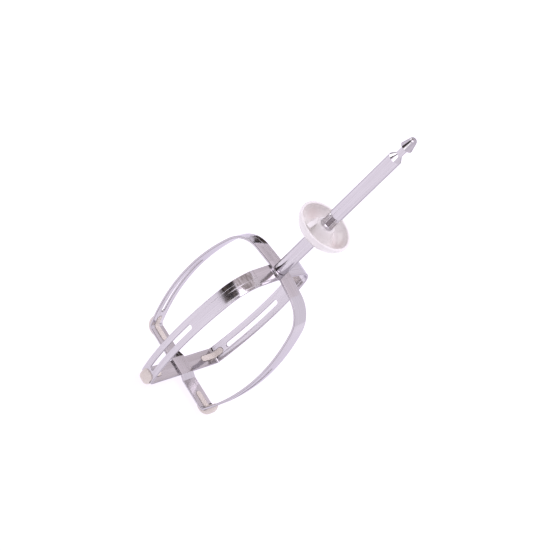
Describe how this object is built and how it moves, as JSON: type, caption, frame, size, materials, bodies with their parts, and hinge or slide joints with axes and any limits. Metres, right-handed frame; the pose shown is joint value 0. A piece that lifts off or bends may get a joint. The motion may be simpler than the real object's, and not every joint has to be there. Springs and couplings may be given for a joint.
{
  "type": "hand mixer beater",
  "caption": "Push-in hand mixer beater: steel rod with latch head, moulded drip cup, crossed slotted strip loops and corner bumpers.",
  "frame": {"origin": "on the beater's axis, in the plane that its four bumpers stand on", "axes": "+Z along the shaft towards its latch head, X in the plane of strip A, Y in the plane of strip B"},
  "size_m": [0.0606, 0.0608, 0.1754],
  "materials": {
    "polished_steel": "polished stainless steel",
    "cup_plastic": "glossy white moulded plastic",
    "bumper_plastic": "satin cream moulded plastic"
  },
  "bodies": {
    "root": {"shaft": "polished_steel", "blade_strip_a": "polished_steel", "blade_strip_b": "polished_steel", "drip_cup": "cup_plastic", "bumper_1": "bumper_plastic", "bumper_2": "bumper_plastic", "bumper_3": "bumper_plastic", "bumper_4": "bumper_plastic"}
  },
  "joints": []
}
